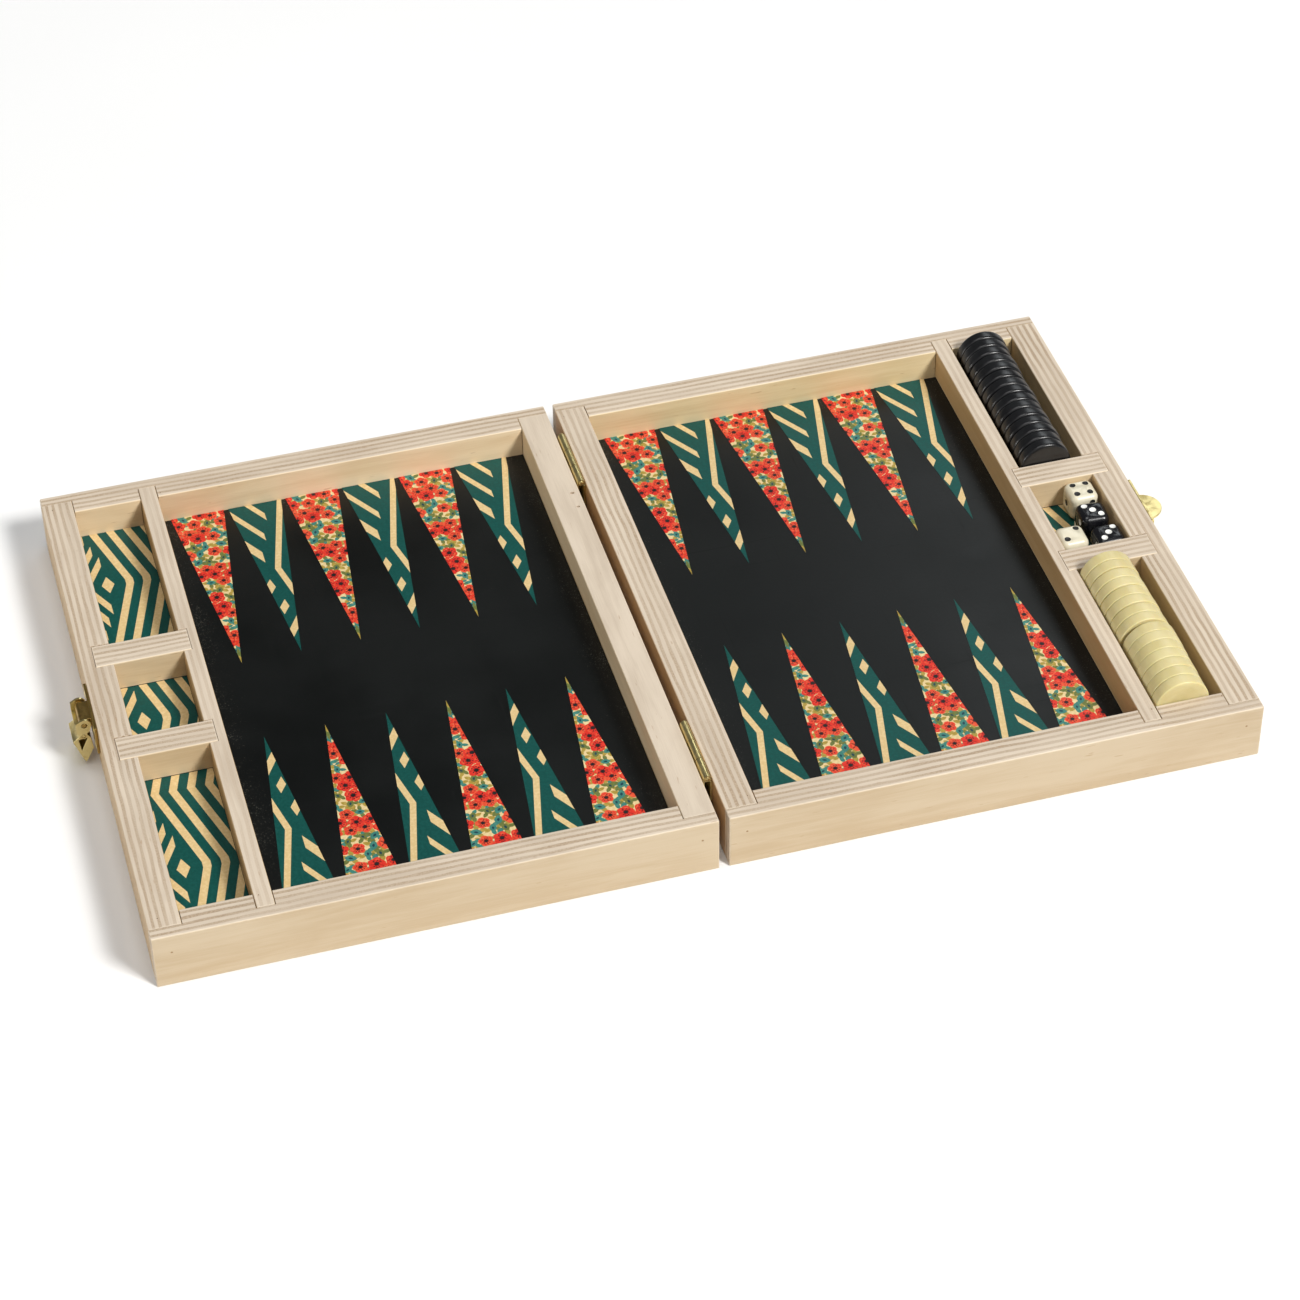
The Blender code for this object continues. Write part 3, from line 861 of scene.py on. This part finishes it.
SCREW_R, SCREW_RISE, SCREW_DEPTH = 0.0017, 0.00028, 0.0010
CROSS_REACH, CROSS_HALF, CROSS_DEPTH, CROSS_TOP = 0.00098, 0.00016, 0.00010, 0.0007


def ball_radius(radius, rise):
    """The radius of the ball that a cap of this radius and rise is part of."""
    return (radius**2 + rise**2) / (2 * rise)


def screw_shape(shape, point, way):
    """A raised countersunk head, pressed into the plate it holds."""
    ball = ball_radius(SCREW_R, SCREW_RISE)
    turns = [asin(SCREW_R / ball) * (1 - i / 5) for i in range(5)]
    dome = [(ball * sin(t), ball * cos(t) - ball + SCREW_RISE) for t in turns]
    shank = [(0, -SCREW_DEPTH), (SCREW_R * 0.55, -SCREW_DEPTH), (SCREW_R, -0.00005)]
    add_lathe(shape, [*shank, *dome, (0, SCREW_RISE)], facing(point, way), 28)


def slot_cutter(shape, point, way, turn):
    """A cross-shaped prism that sinks a screw's slot."""
    place = facing(point, way) @ Matrix.Rotation(turn, 4, "Z")
    arm = [(CROSS_REACH, -CROSS_HALF), (CROSS_REACH, CROSS_HALF), (CROSS_HALF, CROSS_HALF)]
    cross = [corner for quarter in range(4) for corner in turned(arm, (0.0, 0.0), quarter * pi / 2)]
    low = [shape.verts.new(place @ Vector((x, y, -CROSS_DEPTH))) for x, y in cross]
    high = [shape.verts.new(place @ Vector((x, y, CROSS_TOP))) for x, y in cross]
    shape.faces.new(low[::-1])
    shape.faces.new(high)
    for i, j in zip(range(len(cross)), [*range(1, len(cross)), 0]):
        shape.faces.new((low[i], low[j], high[j], high[i]))


def add_screws(name, places, body, brass, seed):
    """Screws given as (point, direction out), on one body."""
    rng = Random(seed)
    heads, slots = bmesh.new(), bmesh.new()
    for point, way in places:
        screw_shape(heads, point, way)
        slot_cutter(slots, point, way, rng.uniform(0, pi / 2))
    piece = add_piece(name, mesh_from(name, heads, [brass], 30), body)
    subtract(piece, slots)


def swept_shape(outline, y_spans):
    """A flat outline in the XZ plane, given thickness along Y for each span."""
    shape = bmesh.new()
    for y_low, y_high in y_spans:
        face = shape.faces.new([shape.verts.new((x, y_low, z)) for x, z in outline])
        thicken(shape, [face], (0, y_high - y_low, 0))
    bmesh.ops.recalc_face_normals(shape, faces=shape.faces)
    return shape


LEAF_THICK, LEAF_EASE = 0.0008, 0.00012
PLATE_BELOW_PIN = 0.0018  # a leaf's plate ends this far under the pin's axis, in the curl
LEAF_SCREW_UP, LEAF_SCREW_ASIDE = 0.0045, 0.0105  # from the leaf's foot, and from its middle
SCREW_SUNK = 0.00002  # how far a screw's rim is pressed into the leaf


def leaf_section(knuckle, outer, foot):
    """A leaf's curl round the pin's axis and its plate against the rail, as X and Z."""
    inner = outer - LEAF_THICK
    start = 360 - 180 * acos(-inner / knuckle) / pi
    curl = arc((0.0, 0.0), knuckle, start - 360, 180, 28)
    bend = [(-knuckle - 0.00012, -0.0005), (-outer + 0.00002, -0.0010)]
    return [(-inner, -foot), *curl, *bend, (-outer, -foot)]


def make_leaf(node, side, axis_x, axis_z, brass, seed):
    """A leaf curled round the pin, with two screws. Side is -1 for the left leaf, else 1."""
    low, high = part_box(node)
    middle = (low.y + high.y) / 2
    outer = abs(low.x if side < 0 else high.x)
    section = leaf_section(high.z - axis_z, outer, axis_z - low.z)
    outline = [(axis_x - side * x, axis_z + z) for x, z in section]
    shape = swept_shape(outline, knuckle_spans(low.y, high.y, side))
    plate = bmesh.ops.create_cube(shape, size=1.0)["verts"]
    plate_top = axis_z - PLATE_BELOW_PIN
    size = Matrix.Diagonal((LEAF_THICK, high.y - low.y, plate_top - low.z, 1.0))
    inner = outer - LEAF_THICK
    spot = Vector((side * (inner + LEAF_THICK / 2), middle, (low.z + plate_top) / 2))
    bmesh.ops.transform(shape, matrix=Matrix.Translation(spot) @ size, verts=plate)
    mesh = mesh_from(node, shape, [brass], 30)
    piece = add_piece(f"{node}_brass", mesh, body_of(node), [node])
    fuse(piece)
    round_edges(piece, LEAF_EASE, 2)
    x, z = side * (inner - SCREW_SUNK), low.z + LEAF_SCREW_UP
    ys = (middle - LEAF_SCREW_ASIDE, middle + LEAF_SCREW_ASIDE)
    places = [(Vector((x, y, z)), (-side, 0, 0)) for y in ys]
    add_screws(f"{node}_screws", places, body_of(node), brass, seed + side)


def make_hinge(label, brass, seed):
    """Two leaves and the pin between them."""
    name = f"{label}_hinge_pin"
    low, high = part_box(name)
    axis_x, axis_z = (low.x + high.x) / 2, (low.z + high.z) / 2
    for side, leaf_name in ((-1, "left_leaf"), (1, "right_leaf")):
        make_leaf(f"{label}_hinge_{leaf_name}", side, axis_x, axis_z, brass, seed)
    pin = bmesh.new()
    radius, length = (high.x - low.x) / 2, high.y - low.y
    head = [(0, -0.00035), (0.0007, -0.00025), (0.0010, 0.0), (radius, 0.00002)]
    tail = [(r, length - h) for r, h in reversed(head)]
    add_lathe(pin, head + tail, facing((axis_x, low.y, axis_z), (0, 1, 0)), 28)
    add_piece(f"{name}_brass", mesh_from(name, pin, [brass]), body_of(name), [name])


def knuckle_spans(low, high, side):
    """Where a leaf's knuckles lie along the pin: the outer two are the left leaf's."""
    third, slack = (high - low) / 3, 0.00015
    if side < 0:
        return [(low, low + third - slack), (high - third + slack, high)]
    return [(low + third + slack, high - third - slack)]


def fuse(piece):
    """Makes one skin of a piece's overlapping shapes, by uniting it with a tiny box inside it."""
    speck = bmesh.new()
    bmesh.ops.create_cube(speck, size=0.0001)
    corner = min((v.co for v in piece.data.vertices), key=lambda co: co.z)
    inward = Vector((0.0002 if corner.x < 0 else -0.0002, 0.001, 0.001))
    bmesh.ops.translate(speck, verts=speck.verts, vec=corner + inward)
    run_boolean(piece, speck, "UNION", use_self=True)


def refined(node, material, width):
    """A CAD node's shape with rounded edges."""
    mesh = mesh_from(node, cad_shape(node), [material], 30)
    piece = add_piece(f"{node}_brass", mesh, body_of(node), [node])
    round_edges(piece, width, 2)
    return piece


LEVER_PIN_OUT, LEVER_PIN_DOWN = 0.0043, 0.0037  # from the end rail's outer face and its rim
PIN_PIT_R, PIN_PIT = 0.00105, 0.0012
PLATE_FACE = 0.00098  # a little less than the plates' thickness, so that the screws sit in them
PLATE_SCREWS_IN, PLATE_SCREWS_DOWN = 0.0028, (0.0030, 0.0102)  # from the plate's ends and its top


def hollow_pin(plate):
    """Sinks both ends of the lever's pin, so that each reads as a dark hole in the lever's cheek."""
    rail_low, rail_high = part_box("left_end_rail")
    x, z = rail_low.x - LEVER_PIN_OUT, rail_high.z - LEVER_PIN_DOWN
    reach = max(v.co.y for v in plate.data.vertices)
    cutters = bmesh.new()
    for sign in (-1, 1):
        end = facing((x, sign * reach, z), (0, sign, 0))
        add_lathe(cutters, bore(PIN_PIT_R, PIN_PIT), end, 20)
    subtract(plate, cutters)


def screw_plate(node, side, brass):
    """Four screws through a plate on the case's left end, side -1, or its right end, side 1."""
    low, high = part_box(node)
    x = (high.x if side < 0 else low.x) + side * PLATE_FACE
    ys = (low.y + PLATE_SCREWS_IN, high.y - PLATE_SCREWS_IN)
    spots = [Vector((x, y, high.z - down)) for y in ys for down in PLATE_SCREWS_DOWN]
    places = [(spot, (side, 0, 0)) for spot in spots]
    add_screws(f"{node}_screws", places, body_of(node), brass, 40 + side)


def make_latch(brass, shaded):
    # The base plate gets the darker brass, whose colours are painted shade
    hollow_pin(refined("latch_base_plate", shaded, 0.00015))
    refined("latch_lever", brass, 0.00014)
    refined("latch_hook", brass, 0.00020)
    refined("catch_plate", brass, 0.00015)
    screw_plate("latch_base_plate", -1, brass)
    screw_plate("catch_plate", 1, brass)


# ---- Checkers and dice ----

CHECKER_RIM = {"black": 0.0012, "cream": 0.00050}
HOLLOW = (0.80, 0.0), (0.72, 0.00010), (0.0, 0.00012)  # share of the radius, and how deep


def checker_mesh(name, material, radius, thick, rim):
    """A plain disc with rounded rims and a face that is a touch hollow."""
    half = thick / 2
    corner = [(radius - rim + x, half - rim + z) for x, z in arc((0, 0), rim, 0, 90, 6)]
    upper = corner + [(radius * share, half - depth) for share, depth in HOLLOW]
    lower = [(r, -z) for r, z in reversed(upper)]
    shape = bmesh.new()
    add_lathe(shape, lower + upper, Matrix.Rotation(-pi / 2, 4, "X"), 64)
    return mesh_from(name, shape, [material], 40)


def make_checkers(colour, material):
    rng = Random(5)
    low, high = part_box(f"{colour}_checker_01")
    radius, thick = (high.x - low.x) / 2, high.y - low.y
    mesh = checker_mesh(f"{colour}_checker", material, radius, thick, CHECKER_RIM[colour])
    for number in range(1, 16):
        node = f"{colour}_checker_{number:02d}"
        low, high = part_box(node)
        turn = Matrix.Rotation(rng.randrange(4) * pi / 2, 4, "Y")
        place = Matrix.Translation((low + high) / 2) @ turn
        add_piece(f"{node}_disc", mesh, body_of(node), [node], place)


PIPS = {
    1: ((0, 0),),
    2: ((-1, -1), (1, 1)),
    3: ((-1, -1), (0, 0), (1, 1)),
    4: ((-1, -1), (-1, 1), (1, -1), (1, 1)),
    5: ((-1, -1), (-1, 1), (0, 0), (1, -1), (1, 1)),
    6: ((-1, -1), (-1, 0), (-1, 1), (1, -1), (1, 0), (1, 1)),
}
# Node, pips on top, in front and at the right, whether the top's are mirrored, degrees turned
DICE = (
    ("cream_die_four", 4, 2, 6, False, 0),
    ("black_die_three_back", 3, 1, 5, True, -4),
    ("black_die_three_front", 3, 1, 5, False, 1),
    ("cream_die_two", 2, 1, 4, False, 0),
)
PIP_R, PIP_DEPTH, PIP_STEP = 0.00142, 0.00050, 0.0029
DIE_ROUND = 0.0030


def pip_cutters(side, top, front, right, mirrored):
    """Balls that sink a die's pips. Opposite faces add up to seven."""
    x, y, z = Vector((1, 0, 0)), Vector((0, 1, 0)), Vector((0, 0, 1))
    faces = [(top, z, x), (7 - top, -z, x), (front, -y, x), (7 - front, y, x)]
    faces += [(right, x, y), (7 - right, -x, y)]
    cutters = bmesh.new()
    ball = ball_radius(PIP_R, PIP_DEPTH)
    for count, out, across in faces:
        up = out.cross(across)
        for a, b in PIPS[count]:
            a = -a if mirrored and count == top else a
            spot = out * (side / 2 + ball - PIP_DEPTH) + (across * a + up * b) * PIP_STEP
            made = bmesh.ops.create_uvsphere(cutters, u_segments=24, v_segments=16, radius=ball)
            bmesh.ops.translate(cutters, verts=made["verts"], vec=spot)
    for face in cutters.faces:
        face.material_index = 1
    return cutters


def make_dice(materials):
    for node, top, front, right, mirrored, turn in DICE:
        low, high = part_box(node)
        side = high.z - low.z
        shape = bmesh.new()
        bmesh.ops.create_cube(shape, size=side)
        colour, paint = ("cream", "black") if node.startswith("cream") else ("black", "white")
        mesh = mesh_from(node, shape, [materials[f"{colour}_die"], materials[f"{paint}_paint"]], 40)
        piece = add_piece(f"{node}_cube", mesh, body_of(node), [node])
        round_edges(piece, DIE_ROUND, 8)
        subtract(piece, pip_cutters(side, top, front, right, mirrored))
        piece.data.shade_smooth()
        piece.data.set_sharp_from_angle(angle=radians(38))
        spin = Matrix.Rotation(radians(turn), 4, "Z")
        piece.data.transform(Matrix.Translation((low + high) / 2) @ spin)


# ---- Stage ----

CAMERA_AZIMUTH, CAMERA_ELEVATION, CAMERA_ROLL = -15.15, 42.01, 1.01  # degrees
CAMERA_DISTANCE = 1.438
CAMERA_TARGET = Vector((-0.0008, -0.0312, 0.025))
CAMERA_LENS = 101.9  # on a 36 mm sensor


def make_camera():
    azimuth, elevation, roll = map(radians, (CAMERA_AZIMUTH, CAMERA_ELEVATION, CAMERA_ROLL))
    back = Vector((sin(azimuth) * cos(elevation), -cos(azimuth) * cos(elevation), sin(elevation)))
    level = Vector((0, 0, 1)).cross(back).normalized()
    upright = back.cross(level)
    right = level * cos(roll) - upright * sin(roll)
    up = level * sin(roll) + upright * cos(roll)
    camera = new_object("camera", bpy.data.cameras.new("camera"))
    camera.data.lens = CAMERA_LENS
    camera.data.clip_start, camera.data.clip_end = 0.05, 50.0
    turn = Matrix((right, up, back)).transposed().to_4x4()
    camera.matrix_world = Matrix.Translation(CAMERA_TARGET + back * CAMERA_DISTANCE) @ turn
    bpy.context.scene.camera = camera


# Name, place, what it faces, width, height, watts and colour
LIGHTS = (
    ("key", (3.6, -4.9, 5.9), (0, 0, 0), 2.0, 2.0, 690, (1.0, 0.99, 0.97)),
    ("fill", (-2.4, -3.4, 4.6), (0, 0, 0), 3.0, 3.0, 24, (1.0, 0.98, 0.95)),
    ("low_left", (-4.5, -0.6, 0.7), (0, 0, 0), 2.4, 0.6, 60, (1.0, 0.98, 0.94)),
    ("overhead", (-0.4, 0.0, 5.2), (0, 0, 0), 2.6, 2.6, 78, (1.0, 1.0, 1.0)),
    ("back_softbox", (1.55, 2.15, 1.95), (0.1, 0, 0), 1.1, 1.0, 9, (0.93, 0.98, 1.0)),
)
SKY_COLOUR, SKY_STRENGTH = (0.96, 0.98, 1.0, 1.0), 0.12
TABLE_HALF = 6.0


def soft_light(name, place, target, width, height, power, colour):
    lamp = bpy.data.lights.new(name, "AREA")
    lamp.shape = "RECTANGLE"
    lamp.size, lamp.size_y = width, height
    lamp.energy = power
    lamp.color = colour
    made = new_object(name, lamp)
    made.location = place
    made.rotation_euler = (Vector(target) - Vector(place)).to_track_quat("-Z", "Y").to_euler()


def make_stage():
    shape = bmesh.new()
    bmesh.ops.create_grid(shape, x_segments=8, y_segments=8, size=TABLE_HALF)
    table = new_object("table", mesh_from("table", shape, [table_top()]))
    world = bpy.context.scene.world or bpy.data.worlds.new("studio")
    bpy.context.scene.world = world
    world.use_nodes = True
    sky = world.node_tree.nodes["Background"]
    sky.inputs["Color"].default_value = SKY_COLOUR
    sky.inputs["Strength"].default_value = SKY_STRENGTH
    for light in LIGHTS:
        soft_light(*light)
    bpy.context.scene.view_settings.view_transform = "Standard"


for spare in [o for o in bpy.data.objects if o.type in ("LIGHT", "CAMERA") or o.name == "Cube"]:
    bpy.data.objects.remove(spare)

ink_materials = [ink(f"ink_{name}", *INKS[name], i + 1.0) for i, name in enumerate(INK_NAMES)]
ART = {
    "floral": film_mesh("floral_point", floral_art(), ink_materials),
    "banded": film_mesh("banded_point", banded_art(), ink_materials),
}
brass = brass_metal("brass", srgb(230, 212, 150), srgb(202, 180, 112), 4.0)
# Darker brass for the latch's base plate. Its colours are painted shade, standing in for the dark
# surroundings that its barrel reflects; the tarnish patches come on top
painted_shade_brass = brass_metal("painted_shade_brass", srgb(176, 146, 84), srgb(112, 86, 46), 7.0)
plastics = {
    "black": plastic("black_plastic", srgb(24, 25, 27), srgb(14, 14, 16), 6.0, 0.27),
    "cream": plastic(
        "cream_plastic",
        srgb(222, 209, 158),
        srgb(210, 196, 142),
        8.0,
        0.30,
        subsurface_weight=0.5,
        subsurface_radius=(1.0, 0.8, 0.4),
        subsurface_scale=0.0025,
    ),
    "black_die": plastic("black_die_plastic", srgb(22, 22, 26), srgb(14, 14, 18), 6.5, 0.20),
    "cream_die": plastic("cream_die_plastic", srgb(224, 217, 194), srgb(212, 204, 178), 8.5, 0.24),
    "white_paint": plastic("white_paint", srgb(244, 244, 240), srgb(228, 228, 222), 9.0, 0.45),
    "black_paint": plastic("black_paint", srgb(24, 24, 24), srgb(34, 34, 34), 7.0, 0.45),
}
putty = filler()
for tray in TRAYS:
    make_wood(tray, putty)
    make_print(tray)
    make_bay_prints(tray, ink_materials)
for seed, label in enumerate(("front", "back")):
    make_hinge(label, brass, 20 + 4 * seed)
make_latch(brass, painted_shade_brass)
for colour in CHECKER_RIM:
    make_checkers(colour, plastics[colour])
make_dice(plastics)
make_camera()
make_stage()
